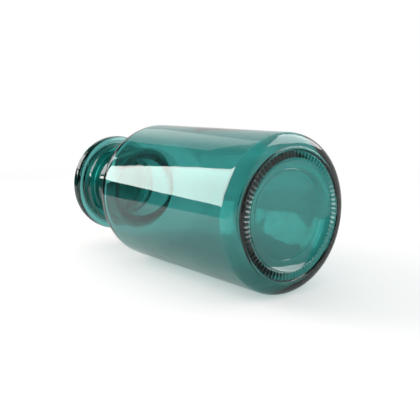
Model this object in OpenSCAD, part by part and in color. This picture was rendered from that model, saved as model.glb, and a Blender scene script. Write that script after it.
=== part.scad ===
/* [Body] */
// Outside diameter of the straight body
body_d = 72; // [64:1:90]
// Height above the base at which the shoulder starts to turn in
body_h = 100; // [80:1:130]
// Thickness of the side wall
wall = 3.4; // [2.4:0.1:4.5]
// Radius of the rounded heel between the body and the bearing rim
heel_r = 6.2; // [4.5:0.1:8.5]
// Radius of the outer corner of the shoulder
shoulder_r = 8; // [6:0.5:12]
// Slope of the shoulder's roof above the horizontal, in degrees
roof_slope = 20; // [10:1:30]

/* [Base] */
// Width of the smooth flat rim that the vial stands on
rim_w = 0.8; // [0.6:0.1:2.0]
// Radial width of the bevel between the rim and the ribbed band
bevel_w = 0.5; // [0.4:0.1:1.2]
// Depth of the ribbed band inside the rim
bevel_h = 0.7; // [0.6:0.1:1.2]
// Radial width of the ribbed band
band_w = 3.5; // [2.5:0.1:4.0]
// Number of radial ribs around the band
rib_count = 80; // [60:1:100]
// Width of one rib
rib_w = 0.9; // [0.7:0.1:1.1]
// Height that the ribs stand proud of their band
rib_h = 0.5; // [0.3:0.1:0.6]
// Depth of the punt at the edge of its crown
punt_h = 3.2; // [2.6:0.1:4.0]
// Radial width of the punt's curved side, between the ribbed band and the crown
punt_side_w = 4.6; // [3.8:0.1:6.0]
// Extra depth of the crown at its centre
crown_h = 0.8; // [0.5:0.1:1.5]
// Thickness of the glass at the centre of the base
base_t = 5; // [4:0.1:8]
// Radial width of the curved side of the floor, where it falls towards the wall
floor_side_w = 9.1; // [7.5:0.1:10]
// Radius of the upper arc of the floor's side
floor_side_r = 10; // [8:0.5:14]
// Radius of the corner between the floor and the wall
floor_r = 3.5; // [3:0.5:4.5]

/* [Neck and lip] */
// Outside diameter of the neck
neck_d = 42; // [38:0.5:44]
// Length of the straight neck between the shoulder's fillet and the collar
neck_h = 21.5; // [12:0.5:26]
// Radius of the fillet between the shoulder and the neck
neck_fillet = 6; // [4:0.5:6]
// Amount that the collar stands out from the neck
collar_out = 3; // [2:0.25:3.5]
// Height of the collar under the lip
collar_h = 7; // [5:0.5:10]
// Radius of the collar's lower edge
collar_r = 1; // [0.6:0.1:1.5]
// Outside diameter of the flanged lip
lip_d = 55.8; // [54:0.2:60]
// Thickness of the flanged lip
lip_t = 6; // [5:0.5:8]
// Radius of the lip's lower edge
lip_under = 3; // [1.5:0.25:3.5]
// Radius of the lip's edge at the mouth side
lip_edge = 1.2; // [0.6:0.1:1.4]

/* [Mouth and stopper] */
// Diameter of the ground mouth at its wide end
mouth_d = 34; // [31:0.5:35]
// Length of the ground seat in the mouth
seat_h = 14; // [10:1:24]
// Taper of the seat, as millimetres of diameter lost per millimetre of length
seat_taper = 0.1; // [0.08:0.01:0.12]
// Width of the rounding at the edge of the mouth
mouth_round = 1.6; // [1:0.1:2]
// Radial clearance of the stopper in its seat
seat_gap = 0.05; // [0.02:0.01:0.1]
// Height of the stopper's head above the lip
head_gap = 0.8; // [0.6:0.1:3]
// Diameter of the stopper's head
head_d = 38; // [37:0.5:42]
// Thickness of the stopper's head
head_t = 4.5; // [4:0.5:10]
// Radius of the rounded edges of the stopper's head
head_r = 1.75; // [1:0.25:1.9]
// Chamfer around the stopper's lower end
tip_chamfer = 1; // [0.5:0.25:2]

/* [Hidden] */
$fn = 96;

GLASS = [0.10, 0.47, 0.44, 0.55];
STOPPER_GLASS = [0.16, 0.58, 0.53, 0.6];

// Radii of the main forms
body_r = body_d / 2;
neck_r = neck_d / 2;
lip_r = lip_d / 2;
mouth_r = mouth_d / 2;
head_rad = head_d / 2;
seat_low_r = mouth_r - seat_h * seat_taper / 2;

// Radii of the base, from the heel inwards
rim_out_r = body_r - heel_r;
rim_in_r = rim_out_r - rim_w;
band_out_r = rim_in_r - bevel_w;
band_in_r = band_out_r - band_w;
crown_r = band_in_r - punt_side_w;

// Radius of an arc that starts level and falls by a height over a run
function falling_arc(run, fall) = (run * run + fall * fall) / (2 * fall);

// The punt: a dome over the crown, and an arc from the crown's edge down to the ribbed band
crown_top = punt_h + crown_h;
crown_ball_r = falling_arc(crown_r, crown_h);
punt_side_r = falling_arc(punt_side_w, punt_h - bevel_h);

// The inside: a level floor, and two arcs that meet on the way down to the corner of the wall
inner_r = body_r - wall;
floor_h = crown_top + base_t;
corner_at_r = inner_r - floor_r;
side_at_r = corner_at_r - floor_side_w;
side_at_h = floor_h - floor_side_r;
corner_at_h = side_at_h + sqrt(pow(floor_side_r + floor_r, 2) - pow(floor_side_w, 2));
inside_foot = max(floor_h, corner_at_h);
// Share of the way between the two arcs' centres at which the arcs meet
meet = floor_side_r / (floor_side_r + floor_r);

// The roof of the shoulder is a line that starts where the corner arc ends
function roof_start(r, corner) =
    [r - corner + corner * sin(roof_slope), body_h + corner * cos(roof_slope)];
function roof_height(r, corner, at_r) =
    roof_start(r, corner)[1] + (roof_start(r, corner)[0] - at_r) * tan(roof_slope);
// Distance from the roof's foot on the neck to each end of the fillet
function fillet_leg(fillet) = fillet / tan((90 + roof_slope) / 2);

// Levels of the neck, counted up from the base
neck_foot = roof_height(body_r, shoulder_r, neck_r) + fillet_leg(neck_fillet);
collar_foot = neck_foot + neck_h;
lip_foot = collar_foot + collar_h;
bottle_h = lip_foot + lip_t;
seat_foot = bottle_h - seat_h;
head_foot = bottle_h + head_gap;
total_h = head_foot + head_t;
// Glass left between the inside of the shoulder and the fillet around the neck's inside
inner_corner_r = shoulder_r - wall;
inner_fillet = neck_fillet + wall;
// Small length by which joined forms run into each other
bite = 0.4;
// Distance that the ribs stop short of the two edges of their band
rib_end = 0.2;

// Half outline of a tank: straight side, rounded corner, sloping roof and neck with a fillet
module tank(r, corner, foot, inner_neck, fillet, top) {
    start = roof_start(r, corner);
    meet_h = roof_height(r, corner, inner_neck);
    leg = fillet_leg(fillet);
    translate([0, foot]) square([r, body_h - foot]);
    translate([r - corner, body_h]) circle(corner);
    polygon([[0, body_h - bite], [r - corner, body_h - bite], start, [inner_neck, meet_h], [0, meet_h]]);
    translate([0, body_h]) square([inner_neck, top - body_h]);
    difference() {
        polygon([
            [inner_neck - bite, meet_h],
            [inner_neck, meet_h + leg],
            [inner_neck + fillet, meet_h + leg],
            [inner_neck + leg * cos(roof_slope), meet_h - leg * sin(roof_slope)]
        ]);
        translate([inner_neck + fillet, meet_h + leg]) circle(fillet);
    }
}

// Keeps the half of an outline that turns about the axis
module half_plane() {
    intersection() {
        translate([0, -body_d]) square([body_d, 4 * body_d + total_h]);
        children();
    }
}

module outside_outline() {
    tank(body_r, shoulder_r, heel_r, neck_r, neck_fillet, bottle_h - lip_t / 2);
    translate([rim_out_r, heel_r]) circle(heel_r);
    square([rim_out_r, heel_r + bite]);
    // Collar with a rounded lower edge
    translate([0, collar_foot + collar_r]) square([neck_r + collar_out, collar_h]);
    translate([0, collar_foot]) square([neck_r + collar_out - collar_r, collar_h]);
    translate([neck_r + collar_out - collar_r, collar_foot + collar_r]) circle(collar_r);
    // Flanged lip, flat at the mouth side
    translate([0, lip_foot]) square([lip_r - lip_under, lip_t]);
    translate([lip_r - lip_under, lip_foot + lip_under]) circle(lip_under);
    translate([0, lip_foot + lip_under]) square([lip_r, lip_t - lip_under - lip_edge]);
    translate([lip_r - lip_edge, bottle_h - lip_edge]) circle(lip_edge);
    translate([0, bottle_h - lip_edge]) square([lip_r - lip_edge, lip_edge]);
}

// The hollow under the base: bevel, ribbed band, slope and crown
module punt_outline() {
    polygon([
        [0, -bite],
        [rim_in_r, -bite],
        [rim_in_r, 0],
        [band_out_r, bevel_h],
        [0, bevel_h]
    ]);
    translate([0, bevel_h - bite]) square([crown_r, punt_h - bevel_h + bite]);
    intersection() {
        translate([crown_r - bite, bevel_h - bite])
            square([punt_side_w + bite, punt_h - bevel_h + bite]);
        translate([crown_r, punt_h - punt_side_r]) circle(punt_side_r);
    }
    intersection() {
        translate([0, punt_h - bite]) square([crown_r, crown_h + 2 * bite]);
        translate([0, crown_top - crown_ball_r]) circle(crown_ball_r);
    }
}

// The inside, with a floor that rises over the punt
module inside_outline() {
    tank(inner_r, inner_corner_r, inside_foot, seat_low_r, inner_fillet, seat_foot + bite);
    translate([corner_at_r, corner_at_h]) {
        circle(floor_r);
        square([floor_r, inside_foot - corner_at_h + bite]);
    }
    difference() {
        polygon([
            [0, floor_h],
            [side_at_r, floor_h],
            [side_at_r + meet * floor_side_w, side_at_h + meet * (corner_at_h - side_at_h)],
            [corner_at_r, corner_at_h],
            [corner_at_r, inside_foot + bite],
            [0, inside_foot + bite]
        ]);
        translate([side_at_r, side_at_h]) circle(floor_side_r);
    }
}

// Tapered seat of the stopper, with the rounding at its mouth
module mouth_outline() {
    polygon([[0, seat_foot], [seat_low_r, seat_foot], [mouth_r, bottle_h], [0, bottle_h]]);
    difference() {
        translate([mouth_r - bite, bottle_h - mouth_round])
            square([mouth_round + bite, mouth_round + bite]);
        translate([mouth_r + mouth_round, bottle_h - mouth_round]) circle(mouth_round);
    }
}

// One radial rib on its band, with a chamfer at each end
module rib() {
    out_r = band_out_r - rib_end;
    in_r = band_in_r + rib_end;
    rotate([90, 0, 0])
        linear_extrude(rib_w, center = true)
            polygon([
                [out_r, bevel_h - rib_h / 2],
                [out_r - rib_h / 2, bevel_h - rib_h],
                [in_r + rib_h / 2, bevel_h - rib_h],
                [in_r, bevel_h - rib_h / 2],
                [in_r, bevel_h + bite],
                [out_r, bevel_h + bite]
            ]);
}

// Lays an upright form on its side, base towards +X, with the whole length centred
module laid_down() {
    translate([total_h / 2, 0, body_r]) rotate([0, -90, 0]) children();
}

module bottle() {
    color(GLASS) laid_down() {
        rotate_extrude() half_plane() difference() {
            outside_outline();
            punt_outline();
            inside_outline();
            mouth_outline();
        }
        for (i = [0 : rib_count - 1])
            rotate([0, 0, 360 * i / rib_count]) rib();
    }
}

module stopper() {
    plug_top_r = mouth_r - seat_gap;
    plug_low_r = seat_low_r - seat_gap;
    shank_r = plug_top_r - mouth_round;
    head_low = head_foot + head_r;
    head_high = total_h - head_r;
    color(STOPPER_GLASS) laid_down() rotate_extrude() half_plane() {
        // Ground plug with its chamfered tip, and the short shank under the head
        polygon([
            [0, seat_foot],
            [plug_low_r - tip_chamfer, seat_foot],
            [plug_low_r + tip_chamfer * seat_taper / 2, seat_foot + tip_chamfer],
            [plug_top_r, bottle_h],
            [shank_r, bottle_h + head_gap / 2],
            [shank_r, head_foot + bite],
            [0, head_foot + bite]
        ]);
        // Head with rounded edges
        translate([0, head_foot]) square([head_rad - head_r, head_t]);
        translate([0, head_low]) square([head_rad, head_high - head_low]);
        translate([head_rad - head_r, head_low]) circle(head_r);
        translate([head_rad - head_r, head_high]) circle(head_r);
    }
}

bottle();
stopper();
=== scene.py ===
"""A teal glass vial with a ground stopper, lying on its side on a white table."""

import math

import bpy
import numpy as np
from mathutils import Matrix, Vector


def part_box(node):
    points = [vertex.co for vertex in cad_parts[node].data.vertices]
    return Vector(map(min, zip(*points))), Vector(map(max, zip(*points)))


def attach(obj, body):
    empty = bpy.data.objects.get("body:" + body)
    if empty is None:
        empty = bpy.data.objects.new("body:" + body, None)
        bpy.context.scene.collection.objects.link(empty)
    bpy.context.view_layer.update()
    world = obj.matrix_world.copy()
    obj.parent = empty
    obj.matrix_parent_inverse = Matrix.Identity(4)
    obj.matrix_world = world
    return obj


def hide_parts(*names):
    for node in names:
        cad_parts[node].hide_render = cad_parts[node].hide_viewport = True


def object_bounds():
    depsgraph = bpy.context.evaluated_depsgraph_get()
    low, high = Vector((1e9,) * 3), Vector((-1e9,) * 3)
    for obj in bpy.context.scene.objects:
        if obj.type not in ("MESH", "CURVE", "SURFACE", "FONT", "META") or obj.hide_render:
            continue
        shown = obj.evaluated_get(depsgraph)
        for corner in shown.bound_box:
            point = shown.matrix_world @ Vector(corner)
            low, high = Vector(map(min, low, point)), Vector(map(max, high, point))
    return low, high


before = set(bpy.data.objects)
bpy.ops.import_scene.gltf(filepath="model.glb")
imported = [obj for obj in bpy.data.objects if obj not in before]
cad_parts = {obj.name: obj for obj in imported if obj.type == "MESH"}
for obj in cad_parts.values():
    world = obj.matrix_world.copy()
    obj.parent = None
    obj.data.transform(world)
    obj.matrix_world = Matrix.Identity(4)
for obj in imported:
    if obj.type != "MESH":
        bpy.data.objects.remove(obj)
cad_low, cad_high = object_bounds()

MM = 0.001

# ---------------------------------------------------------------- sizes taken from the frame
bottle_low, bottle_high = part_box("bottle")
stopper_low, stopper_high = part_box("stopper")
BASE_X = bottle_high[0]
AXIS_Z = (bottle_high[2] + bottle_low[2]) / 2
BOTTLE_H = (bottle_high[0] - bottle_low[0]) / MM
BODY_R = (bottle_high[1] - bottle_low[1]) / 2 / MM
PLUG_FOOT = (BASE_X - stopper_high[0]) / MM
TOTAL_H = (BASE_X - stopper_low[0]) / MM
HEAD_R = (stopper_high[1] - stopper_low[1]) / 2 / MM

# ---------------------------------------------------------------- the glass, in millimetres
WALL = 3.4
HEEL_ROUND = 6.2
SHOULDER_H = 100.0
SHOULDER_ROUND = 8.0
ROOF_SLOPE = math.radians(20)

RIM_W = 0.8
RIM_EDGE = 0.35
BEVEL_W = 0.5
BAND_H = 0.7
BAND_W = 3.5
BAND_ROUND = 0.2
RIB_COUNT = 80
RIB_H = 0.6
RIB_HALF = 0.5
RIB_END = 0.4
PUNT_H = 3.2
PUNT_SIDE_W = 4.6
CROWN_H = 0.8
LINE_START_H = 0.04
LINE_H = 0.16
LINE_W = 0.5
BASE_T = 5.0
FLOOR_SIDE_W = 9.1
FLOOR_SIDE_R = 10.0
FLOOR_ROUND = 3.5

NECK_R = 21.0
NECK_ROUND = 6.0
COLLAR_R = 24.0
COLLAR_H = 7.0
LIP_R = 27.9
LIP_T = 6.0
LIP_UNDER = 3.0
LIP_EDGE = 1.2
COLLAR_FOOT_ROUND = 0.8
COLLAR_EDGE = 1.0
COLLAR_TOP_ROUND = 1.2
MOUTH_R = 17.0
MOUTH_ROUND = 1.6
SEAT_H = 14.0
SEAT_TAPER = 0.05
SEAT_GAP = 0.05
SEAT_ROUND = 1.0
PLUG_ROUND = 1.2
PLUG_TOP_DROP = 0.6
PLUG_TOP_ROUND = 0.8
SHANK_ROUND = 0.5
HEAD_GAP = 0.8
HEAD_ROUND = 1.75

# The waviness of the inside's wall: its depth, where it fades in above the floor and out below the
# seat, the radius it stays outside, and its waves as (share, times round, turn in each mm, start).
INSIDE_WAVE = 0.1
WAVE_ABOVE_FLOOR = (1, 16)
WAVE_BELOW_SEAT = (14, 4)
WAVE_OUTSIDE_R = MOUTH_R - 3
WAVES = ((0.45, 2, 0.045, 0.6), (0.3, 3, -0.07, 2.1), (0.25, 5, 0.11, 4.0))

TINY = 0.01
SEGMENTS = 160
RIB_STEPS = 16
ARC_STEP = math.radians(6)
LINE_STEP = 2.0


def blend_step(low, high, value):
    """A smooth rise from 0 at low to 1 at high."""
    t = np.clip((value - low) / (high - low), 0, 1)
    return t * t * (3 - 2 * t)


# ---------------------------------------------------------------- outlines
def straight(start, end, step=LINE_STEP):
    """Points from start up to, but without, end."""
    start, end = np.array(start, float), np.array(end, float)
    count = max(1, math.ceil(np.linalg.norm(end - start) / step))
    return [start + (end - start) * i / count for i in range(count)]


def rounded(corners, line_step=LINE_STEP):
    """An outline through corners of (height, radius, rounding), with each corner turned into an arc."""
    points = []
    last = np.array(corners[0][:2], float)
    for before, corner, after in zip(corners, corners[1:], corners[2:]):
        middle = np.array(corner[:2], float)
        back = np.array(before[:2]) - middle
        ahead = np.array(after[:2]) - middle
        back /= np.linalg.norm(back)
        ahead /= np.linalg.norm(ahead)
        opening = math.acos(np.clip(back @ ahead, -1, 1))
        if corner[2] == 0:
            points += straight(last, middle, line_step)
            last = middle
            continue
        leg = corner[2] / math.tan(opening / 2)
        centre = middle + (back + ahead) / np.linalg.norm(back + ahead) * corner[2] / math.sin(opening / 2)
        enter = middle + back * leg
        leave = middle + ahead * leg
        points += straight(last, enter, line_step)
        turn = math.pi - opening
        steps = max(3, math.ceil(turn / ARC_STEP), math.ceil(turn * corner[2] / line_step))
        first, final = enter - centre, leave - centre
        for i in range(steps):
            t = i / steps
            a = math.sin((1 - t) * turn) / math.sin(turn)
            b = math.sin(t * turn) / math.sin(turn)
            points.append(centre + first * a + final * b)
        last = leave
    points += straight(last, corners[-1][:2], line_step)
    points.append(np.array(corners[-1][:2], float))
    return points


def roof_foot(radius, rounding, neck):
    """Height at which the sloping roof of the shoulder meets a neck of that radius."""
    start_r = radius - rounding + rounding * math.sin(ROOF_SLOPE)
    start_h = SHOULDER_H + rounding * math.cos(ROOF_SLOPE)
    return start_h + (start_r - neck) * math.tan(ROOF_SLOPE)


def side_corner(radius, rounding, neck):
    """Height of the sharp corner that the shoulder's rounding replaces."""
    return roof_foot(radius, rounding, neck) - (radius - neck) * math.tan(ROOF_SLOPE)


def arc(centre, radius, start, end, step):
    """Points on an arc from start up to, but without, end, in degrees from level towards the mouth."""
    turn = math.radians(abs(end - start))
    count = max(3, math.ceil(abs(end - start) / 6), math.ceil(turn * radius / step))
    turns = np.radians(np.linspace(start, end, count + 1)[:-1])
    return [np.array([centre[0] + radius * math.sin(t), centre[1] + radius * math.cos(t)]) for t in turns]


def falling_arc(run, fall):
    """Radius of an arc that starts level and falls by a height over a run."""
    return (run ** 2 + fall ** 2) / (2 * fall)


RIM_OUT_R = BODY_R - HEEL_ROUND
RIM_IN_R = RIM_OUT_R - RIM_W
BAND_OUT_R = RIM_IN_R - BEVEL_W
BAND_IN_R = BAND_OUT_R - BAND_W
CROWN_R = BAND_IN_R - PUNT_SIDE_W
FLOOR_H = PUNT_H + CROWN_H + BASE_T


def punt_outline():
    """The punt from its centre out to the ribbed band: its dome, the fine line round it and its side."""
    ball = falling_arc(CROWN_R, CROWN_H)
    side = falling_arc(PUNT_SIDE_W, PUNT_H - BAND_H)
    edge = math.degrees(math.asin(CROWN_R / ball))
    foot = math.degrees(math.asin(PUNT_SIDE_W / side))
    dome = arc((PUNT_H + CROWN_H - ball, 0), ball, 90, 90 - edge, step=1.5)
    line = [
        np.array([PUNT_H + LINE_START_H, CROWN_R - LINE_W]),
        np.array([PUNT_H - LINE_H, CROWN_R - LINE_W * 0.6]),
        np.array([PUNT_H - LINE_H, CROWN_R - LINE_W * 0.4]),
    ]
    return dome + line + arc((PUNT_H - side, CROWN_R), side, 90, 90 - foot, step=0.3)


def foot_outline():
    """The ribbed band, the bevel and the smooth rim that the vial stands on."""
    return rounded([
        (BAND_H, BAND_IN_R, 0),
        (BAND_H, BAND_OUT_R, BAND_ROUND),
        (0, RIM_IN_R, RIM_EDGE),
        (0, RIM_OUT_R, RIM_EDGE),
        (RIM_EDGE, RIM_OUT_R + RIM_EDGE, 0),
    ], line_step=0.3)


def floor_outline():
    """The inside's floor, from the wall in to the axis: corner, curved side and level middle."""
    corner_r = BODY_R - WALL - FLOOR_ROUND
    side_r = corner_r - FLOOR_SIDE_W
    side_h = FLOOR_H - FLOOR_SIDE_R
    rise = math.sqrt((FLOOR_SIDE_R + FLOOR_ROUND) ** 2 - FLOOR_SIDE_W ** 2)
    turn = math.degrees(math.atan2(rise, FLOOR_SIDE_W))
    return (arc((side_h + rise, corner_r), FLOOR_ROUND, 0, -180 + turn, step=0.5)
            + arc((side_h, side_r), FLOOR_SIDE_R, turn, 90, step=0.8)
            + straight((FLOOR_H, side_r), (FLOOR_H, 0)) + [np.array([FLOOR_H, 0.0])])


def side_outline():
    """From the rim up the outside, over the lip, down through the mouth and back along the inside."""
    lip_foot = BOTTLE_H - LIP_T
    collar_foot = lip_foot - COLLAR_H
    seat_low_r = MOUTH_R - SEAT_H * SEAT_TAPER
    side = rounded([
        (RIM_EDGE, RIM_OUT_R + RIM_EDGE, 0),
        (RIM_EDGE, BODY_R, HEEL_ROUND - RIM_EDGE - TINY),
        (side_corner(BODY_R, SHOULDER_ROUND, NECK_R), BODY_R, SHOULDER_ROUND),
        (roof_foot(BODY_R, SHOULDER_ROUND, NECK_R), NECK_R, NECK_ROUND),
        (collar_foot, NECK_R, COLLAR_FOOT_ROUND),
        (collar_foot, COLLAR_R, COLLAR_EDGE),
        (lip_foot, COLLAR_R, COLLAR_TOP_ROUND),
        (lip_foot, LIP_R, LIP_UNDER),
        (BOTTLE_H, LIP_R, LIP_EDGE),
        (BOTTLE_H, MOUTH_R, MOUTH_ROUND),
        (BOTTLE_H - SEAT_H, seat_low_r, SEAT_ROUND),
        (roof_foot(BODY_R - WALL, SHOULDER_ROUND - WALL, seat_low_r), seat_low_r, NECK_ROUND + WALL),
        (side_corner(BODY_R - WALL, SHOULDER_ROUND - WALL, NECK_R), BODY_R - WALL, SHOULDER_ROUND - WALL),
        (FLOOR_H + 2, BODY_R - WALL, 0),
    ])
    return side[:-1] + straight(side[-1], floor_outline()[0]) + floor_outline()


# ---------------------------------------------------------------- turned meshes
class Turning:
    """Builds a closed mesh ring by ring about the vial's axis."""

    def __init__(self):
        self.points = []
        self.faces = []
        self.last = None

    def ring(self, height, radius, count):
        """Adds one ring; height and radius may be arrays with one value per point."""
        first = len(self.points)
        if np.isscalar(radius) and radius < 1e-6:
            count = 1
        angle = 2 * math.pi * np.arange(count) / count
        x = BASE_X - np.broadcast_to(height, count) * MM
        r = np.broadcast_to(radius, count) * MM
        self.points += list(zip(x, r * np.sin(angle), AXIS_Z + r * np.cos(angle)))
        if self.last:
            self.join(self.last, (first, count))
        self.last = (first, count)

    def join(self, a, b):
        """Faces between two rings; one may be a single point, or have a multiple of the other's points."""
        (first_a, count_a), (first_b, count_b) = a, b
        fine = max(count_a, count_b)
        for i in range(min(count_a, count_b) if min(count_a, count_b) > 1 else fine):
            ring_a = self.run(first_a, count_a, i, fine if count_b == 1 else count_b)
            ring_b = self.run(first_b, count_b, i, fine if count_a == 1 else count_a)
            self.faces.append(ring_a + ring_b[::-1])

    @staticmethod
    def run(first, count, i, other):
        """The points of one ring that face number i uses, in order round the ring."""
        if count == 1:
            return [first]
        share = max(1, count // other)
        return [first + (i * share + k) % count for k in range(share + 1)]

    def build(self, name, material, choose):
        """Makes the object; choose(height, radius) gives the share of ground surface there."""
        mesh = bpy.data.meshes.new(name)
        mesh.from_pydata([tuple(p) for p in self.points], [], self.faces)
        mesh.materials.append(material)
        ground = mesh.attributes.new("ground", "FLOAT", "FACE")
        for face, rough in zip(mesh.polygons, ground.data):
            face.use_smooth = True
            middle = face.center
            height = (BASE_X - middle.x) / MM
            radius = math.hypot(middle.y, middle.z - AXIS_Z) / MM
            rough.value = choose(height, radius)
        mesh.validate()
        made = bpy.data.objects.new(name, mesh)
        bpy.context.scene.collection.objects.link(made)
        return made


def waviness(angle, height):
    """How far the blown inside strays from a true round, from -1 to 1."""
    return sum(share * np.sin(times * angle + turn * height + start) for share, times, turn, start in WAVES)


def bottle_mesh(material, choose):
    """The bottle: punt, ribbed band, rim, outside, lip, mouth and inside, as one closed mesh."""
    turning = Turning()
    for height, radius in punt_outline():
        turning.ring(height, radius, SEGMENTS)
    fine = SEGMENTS * RIB_STEPS // 2
    across = np.abs((np.arange(fine) * RIB_COUNT / fine + 0.5) % 1 - 0.5)
    rib_shape = 1 - blend_step(0, RIB_HALF, across)
    for height, radius in foot_outline():
        if radius < BAND_IN_R or radius > BAND_OUT_R:
            turning.ring(height, radius, SEGMENTS)
            continue
        proud = blend_step(BAND_IN_R, BAND_IN_R + RIB_END, radius)
        proud *= 1 - blend_step(BAND_OUT_R - RIB_END, BAND_OUT_R, radius)
        turning.ring(height - RIB_H * proud * rib_shape, radius, fine)
    angle = 2 * math.pi * np.arange(SEGMENTS) / SEGMENTS
    seat_foot = BOTTLE_H - SEAT_H
    wave_drop, wave_end = WAVE_BELOW_SEAT
    past_mouth = False
    for height, radius in side_outline()[1:]:
        if height >= BOTTLE_H - TINY:
            past_mouth = True
        if past_mouth and height < seat_foot - wave_end and radius > WAVE_OUTSIDE_R:
            fade = blend_step(FLOOR_H + WAVE_ABOVE_FLOOR[0], FLOOR_H + WAVE_ABOVE_FLOOR[1], height)
            fade *= 1 - blend_step(seat_foot - wave_drop, seat_foot - wave_end, height)
            radius = radius + INSIDE_WAVE * fade * waviness(angle, height)
        turning.ring(height, radius, SEGMENTS)
    return turning.build("bottle_glass", material, choose)


def stopper_mesh(material, choose):
    """The stopper: ground plug, short shank and round head, as one closed mesh."""
    plug_top = MOUTH_R - SEAT_GAP
    plug_low = MOUTH_R - SEAT_H * SEAT_TAPER - SEAT_GAP
    shank = plug_top - MOUTH_ROUND
    head_foot = BOTTLE_H + HEAD_GAP
    outline = rounded([
        (PLUG_FOOT, 0, 0),
        (PLUG_FOOT, plug_low, PLUG_ROUND),
        (BOTTLE_H - PLUG_TOP_DROP, plug_top, PLUG_TOP_ROUND),
        (BOTTLE_H + HEAD_GAP / 2, shank, SHANK_ROUND),
        (head_foot, shank, SHANK_ROUND),
        (head_foot, HEAD_R, HEAD_ROUND),
        (TOTAL_H, HEAD_R, HEAD_ROUND),
        (TOTAL_H, 0, 0),
    ])
    turning = Turning()
    for height, radius in outline:
        turning.ring(height, radius, SEGMENTS)
    return turning.build("stopper_glass", material, choose)


# ---------------------------------------------------------------- shader nodes
WHITE = (1, 1, 1, 1)


def node(tree, kind, **inputs):
    """Adds a shader node and sets its sockets by name."""
    made = tree.nodes.new(kind)
    for key, value in inputs.items():
        made.inputs[key.replace("_", " ")].default_value = value
    return made


def maths(tree, operation, *values):
    """Adds a Math node; each value is a number or another node's socket."""
    made = tree.nodes.new("ShaderNodeMath")
    made.operation = operation
    for socket, value in zip(made.inputs, values):
        if isinstance(value, bpy.types.NodeSocket):
            tree.links.new(value, socket)
        else:
            socket.default_value = value
    return made.outputs["Value"]


def ramp(tree, value, start, end, low, high, kind="SMOOTHSTEP"):
    """Turns a value's range from start to end into one from low to high."""
    made = node(tree, "ShaderNodeMapRange", From_Min=start, From_Max=end, To_Min=low, To_Max=high)
    made.interpolation_type = kind
    tree.links.new(value, made.inputs["Value"])
    return made.outputs["Result"]


def mixed(tree, share, first, second):
    """Mixes two shaders: a share of 0 is the first, and 1 is the second."""
    made = tree.nodes.new("ShaderNodeMixShader")
    tree.links.new(share, made.inputs["Fac"])
    tree.links.new(first, made.inputs[1])
    tree.links.new(second, made.inputs[2])
    return made.outputs["Shader"]


def plain_glow(tree, strength):
    """A white glow of that strength."""
    return node(tree, "ShaderNodeEmission", Color=WHITE, Strength=strength)


# ---------------------------------------------------------------- the glass
GLASS_TINT = (0.08, 0.66, 0.635, 1)
GLASS_DENSITY = 265.0
GLASS_SKIN = (0.58, 0.82, 0.81, 1)
GLASS_IOR = 1.51
SHADOW_SKIN = (0.74, 0.86, 0.85, 1)
GROUND_ROUGH = 0.3
SEAT_SHARE = 1.0
RIB_SHARE = 0.35
RIB_SHARE_BELOW = 0.3
PLUG_SIDE_FROM = 1
PLUG_SIDE_W = 2
HAZE = {"Scale": 130.0, "Detail": 4.0, "Roughness": 0.6}
HAZE_FROM = (0.35, 0.75)
HAZE_ROUGH = 0.03
RIPPLE = {"Scale": 55.0, "Detail": 2.0, "Roughness": 0.4}
RIPPLE_DEPTH = 0.0006
RIPPLE_STRENGTH = 0.12


def glass(name):
    """Tinted glass with moulding ripples; the mesh's attribute "ground" is the ground surface's share.

    For shadows and for light bounced off the table it is a plain tint, and bends nothing."""
    material = bpy.data.materials.new(name)
    material.use_nodes = True
    tree = material.node_tree
    tree.nodes.clear()
    link = tree.links.new
    out = tree.nodes.new("ShaderNodeOutputMaterial")
    polished = node(tree, "ShaderNodeBsdfPrincipled", Base_Color=GLASS_SKIN, Transmission_Weight=1.0,
                    IOR=GLASS_IOR)
    place = tree.nodes.new("ShaderNodeTexCoord")
    ripple = node(tree, "ShaderNodeTexNoise", **RIPPLE)
    link(place.outputs["Object"], ripple.inputs["Vector"])
    haze = node(tree, "ShaderNodeTexNoise", **HAZE)
    link(place.outputs["Object"], haze.inputs["Vector"])
    roughness = ramp(tree, haze.outputs["Fac"], *HAZE_FROM, 0.0, HAZE_ROUGH, "LINEAR")
    link(roughness, polished.inputs["Roughness"])
    bump = node(tree, "ShaderNodeBump", Strength=RIPPLE_STRENGTH, Distance=RIPPLE_DEPTH)
    link(ripple.outputs["Fac"], bump.inputs["Height"])
    link(bump.outputs["Normal"], polished.inputs["Normal"])
    frosted = node(tree, "ShaderNodeBsdfPrincipled", Base_Color=GLASS_SKIN, Transmission_Weight=1.0,
                   IOR=GLASS_IOR, Roughness=GROUND_ROUGH)
    ground = tree.nodes.new("ShaderNodeAttribute")
    ground.attribute_name = "ground"
    both = mixed(tree, ground.outputs["Fac"], polished.outputs["BSDF"], frosted.outputs["BSDF"])
    path = tree.nodes.new("ShaderNodeLightPath")
    clear = node(tree, "ShaderNodeBsdfTransparent", Color=SHADOW_SKIN)
    for_table = maths(tree, "MAXIMUM", path.outputs["Is Shadow Ray"], path.outputs["Is Diffuse Ray"])
    link(mixed(tree, for_table, both, clear.outputs["BSDF"]), out.inputs["Surface"])
    tint = node(tree, "ShaderNodeVolumeAbsorption", Color=GLASS_TINT, Density=GLASS_DENSITY)
    link(tint.outputs["Volume"], out.inputs["Volume"])
    return material


def on_bottle(height, radius):
    """Share of ground surface on the bottle: all of the seat, and part of the ribbed band."""
    if BOTTLE_H - SEAT_H < height < BOTTLE_H - MOUTH_ROUND and radius < MOUTH_R:
        return SEAT_SHARE
    if height < BAND_H + RIB_SHARE_BELOW and BAND_IN_R < radius < BAND_OUT_R:
        return RIB_SHARE
    return 0


def on_stopper(height, radius):
    """Share of ground surface on the stopper: the side of its plug."""
    along_plug = PLUG_FOOT + PLUG_SIDE_FROM < height < BOTTLE_H - PLUG_TOP_DROP
    return SEAT_SHARE if along_plug and radius > MOUTH_R - PLUG_SIDE_W else 0


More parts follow.
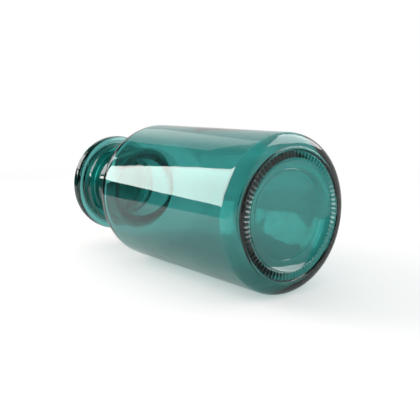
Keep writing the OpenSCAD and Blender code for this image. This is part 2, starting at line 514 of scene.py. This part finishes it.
# ---------------------------------------------------------------- the table
FLOOR_SIZE = 8.0
FLOOR_DROP = 0.0002
FLOOR_COLOUR = (0.86, 0.86, 0.86, 1)
PAPER_COLOUR = (0.7, 0.7, 0.7, 1)
FLOOR_LIFT = 0.38
FLOOR_LIFT_THROUGH = 0.1
FLOOR_FADE = (0.25, 0.6)
# The edge lies at TABLE_EDGE metres in the direction TABLE_EDGE_FACING.
TABLE_EDGE = 0.36
TABLE_EDGE_FACING = (-0.78, -0.62, 0)
ROOM_DARK = 0.05
REFLECTED_DIMMING = 0.5
FIRST_BOUNCE = 1.5


def floor_material():
    """White table top: it takes the shadow, and passes into plain white further off.

    Where it is seen it is paper with a glow, which is weaker by way of the glass; light bounces off it
    as off matte white. Past an edge it is dark, but only in the glass's first reflection."""
    material = bpy.data.materials.new("white_table")
    material.use_nodes = True
    tree = material.node_tree
    tree.nodes.clear()
    link = tree.links.new
    out = tree.nodes.new("ShaderNodeOutputMaterial")
    path = tree.nodes.new("ShaderNodeLightPath")
    camera = path.outputs["Is Camera Ray"]
    reflected = path.outputs["Is Glossy Ray"]
    through = path.outputs["Is Transmission Ray"]
    seen = maths(tree, "MAXIMUM", camera, maths(tree, "MAXIMUM", reflected, through))

    matte = node(tree, "ShaderNodeBsdfDiffuse", Color=FLOOR_COLOUR)
    paper = node(tree, "ShaderNodeBsdfDiffuse", Color=PAPER_COLOUR)
    lift = plain_glow(tree, FLOOR_LIFT)
    dimmed = maths(tree, "MULTIPLY_ADD", reflected, REFLECTED_DIMMING, through)
    link(ramp(tree, dimmed, 0.0, 1.0, FLOOR_LIFT, FLOOR_LIFT_THROUGH, "LINEAR"), lift.inputs["Strength"])
    lifted = tree.nodes.new("ShaderNodeAddShader")
    link(paper.outputs["BSDF"], lifted.inputs[0])
    link(lift.outputs["Emission"], lifted.inputs[1])
    near = mixed(tree, seen, matte.outputs["BSDF"], lifted.outputs["Shader"])

    place = tree.nodes.new("ShaderNodeTexCoord")
    away = tree.nodes.new("ShaderNodeVectorMath")
    away.operation = "LENGTH"
    link(place.outputs["Object"], away.inputs[0])
    fade = maths(tree, "MULTIPLY", ramp(tree, away.outputs["Value"], *FLOOR_FADE, 0.0, 1.0), seen)
    whole = mixed(tree, fade, near, plain_glow(tree, 1.0).outputs["Emission"])

    beyond = tree.nodes.new("ShaderNodeVectorMath")
    beyond.operation = "DOT_PRODUCT"
    beyond.inputs[1].default_value = TABLE_EDGE_FACING
    link(place.outputs["Object"], beyond.inputs[0])
    off_table = maths(tree, "GREATER_THAN", beyond.outputs["Value"], TABLE_EDGE)
    first_bounce = maths(tree, "LESS_THAN", path.outputs["Ray Depth"], FIRST_BOUNCE)
    dark = maths(tree, "MULTIPLY", off_table, maths(tree, "MULTIPLY", first_bounce, reflected))
    room = plain_glow(tree, ROOM_DARK)
    link(mixed(tree, dark, whole, room.outputs["Emission"]), out.inputs["Surface"])
    return material


def make_floor():
    """The table top, as the scene's own piece just below the glass."""
    mesh = bpy.data.meshes.new("table_top")
    half = FLOOR_SIZE / 2
    corners = [(-half, -half, 0), (half, -half, 0), (half, half, 0), (-half, half, 0)]
    mesh.from_pydata(corners, [], [(0, 1, 2, 3)])
    mesh.materials.append(floor_material())
    floor = bpy.data.objects.new("table_top", mesh)
    floor.location.z = cad_low[2] - FLOOR_DROP
    bpy.context.scene.collection.objects.link(floor)


# ---------------------------------------------------------------- the world and the lamps
TABLE_LIGHT = 0.84
WORLD_GREY = (0.8, 0.8, 0.8, 1)
# For the glass the world's level rises to 1 between two Y directions: (from, to, level before).
WORLD_REFLECTED = (0.05, 0.35, 0.08)
WORLD_THROUGH_GLASS = (-0.6, -0.1, 0.3)
KEY_COLOUR = (1.0, 0.92, 0.88)


def make_world():
    """White to the camera and an even light for the table; for the glass it darkens towards -Y."""
    world = bpy.data.worlds.new("studio")
    bpy.context.scene.world = world
    world.use_nodes = True
    tree = world.node_tree
    tree.nodes.clear()
    link = tree.links.new
    out = tree.nodes.new("ShaderNodeOutputWorld")
    place = tree.nodes.new("ShaderNodeTexCoord")
    split = tree.nodes.new("ShaderNodeSeparateXYZ")
    link(place.outputs["Generated"], split.inputs[0])
    path = tree.nodes.new("ShaderNodeLightPath")
    either = tree.nodes.new("ShaderNodeMix")
    link(path.outputs["Is Transmission Ray"], either.inputs["Factor"])
    for socket, (start, end, dark) in (("A", WORLD_REFLECTED), ("B", WORLD_THROUGH_GLASS)):
        link(ramp(tree, split.outputs["Y"], start, end, dark, 1.0), either.inputs[socket])
    for_glass = node(tree, "ShaderNodeBackground", Color=WORLD_GREY)
    link(either.outputs["Result"], for_glass.inputs["Strength"])
    for_table = node(tree, "ShaderNodeBackground", Color=WHITE, Strength=TABLE_LIGHT)
    for_camera = node(tree, "ShaderNodeBackground", Color=WHITE, Strength=1.0)
    unseen = mixed(tree, path.outputs["Is Diffuse Ray"], for_glass.outputs[0], for_table.outputs[0])
    link(mixed(tree, path.outputs["Is Camera Ray"], unseen, for_camera.outputs[0]), out.inputs["Surface"])


def softbox(name, place, facing, width, height, brightness):
    """A rectangular lamp; lamps of one brightness look equally bright, whatever their size."""
    lamp = bpy.data.lights.new(name, "AREA")
    lamp.shape = "RECTANGLE"
    lamp.size = width
    lamp.size_y = height
    lamp.energy = brightness * math.pi * width * height
    made = bpy.data.objects.new(name, lamp)
    made.location = place
    made.rotation_euler = Vector(facing).to_track_quat("-Z", "Y").to_euler()
    bpy.context.scene.collection.objects.link(made)
    return made


def only_in_reflections(lamp):
    """Keeps a lamp's light off the table, and out of what is seen through the glass."""
    lamp.visible_diffuse = False
    lamp.visible_transmission = False


def make_lamps():
    """The key lamp beyond the mouth, and three that only brighten reflections."""
    key = softbox("key", place=(BASE_X - 0.5, -0.363, 0.305), facing=(1, 0, 0),
                  width=0.30, height=0.40, brightness=7.6)
    key.data.color = KEY_COLOUR
    rear = softbox("rear", place=(0.27, 0.62, 0.60), facing=(-0.27, -0.62, -0.57),
                   width=0.85, height=0.75, brightness=4.8)
    back = softbox("back", place=(-0.47, 0.13, 0.37), facing=(0.84, -0.22, -0.49),
                   width=0.24, height=0.22, brightness=0.55)
    card = softbox("neck_card", place=(-0.184, -0.064, 0.105), facing=(0.87, 0.31, -0.39),
                   width=0.04, height=0.06, brightness=4.2)
    card.visible_camera = False
    for lamp in (rear, back, card):
        only_in_reflections(lamp)


# ---------------------------------------------------------------- the camera
CAMERA_AZIMUTH = math.radians(51.1)
CAMERA_ELEVATION = math.radians(9.8)
CAMERA_DISTANCE = 0.3219
CAMERA_AIM = Vector((BASE_X - 0.0574, 0, 0.0310))
CAMERA_LENS = 55.0


def make_camera():
    """The photo's camera, as it was fitted to the outline, the base and the lip."""
    data = bpy.data.cameras.new("camera")
    data.lens = CAMERA_LENS
    data.sensor_width = 36
    data.clip_start = 0.01
    back = Vector((
        math.sin(CAMERA_AZIMUTH) * math.cos(CAMERA_ELEVATION),
        -math.cos(CAMERA_AZIMUTH) * math.cos(CAMERA_ELEVATION),
        math.sin(CAMERA_ELEVATION),
    ))
    camera = bpy.data.objects.new("camera", data)
    camera.location = CAMERA_AIM + back * CAMERA_DISTANCE
    camera.rotation_euler = (-back).to_track_quat("-Z", "Y").to_euler()
    bpy.context.scene.collection.objects.link(camera)
    bpy.context.scene.camera = camera


# ---------------------------------------------------------------- putting it together
make_camera()
make_world()
make_floor()
make_lamps()

teal_glass = glass("teal_glass")

bottle = bottle_mesh(teal_glass, on_bottle)
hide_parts("bottle")
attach(bottle, "bottle")

stopper = stopper_mesh(teal_glass, on_stopper)
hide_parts("stopper")
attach(stopper, "stopper")

scene = bpy.context.scene
scene.view_settings.view_transform = "Standard"
scene.cycles.max_bounces = 24
scene.cycles.transmission_bounces = 24
scene.cycles.glossy_bounces = 8
scene.cycles.transparent_max_bounces = 24
scene.cycles.caustics_reflective = False
scene.cycles.caustics_refractive = False
scene.cycles.use_denoising = True
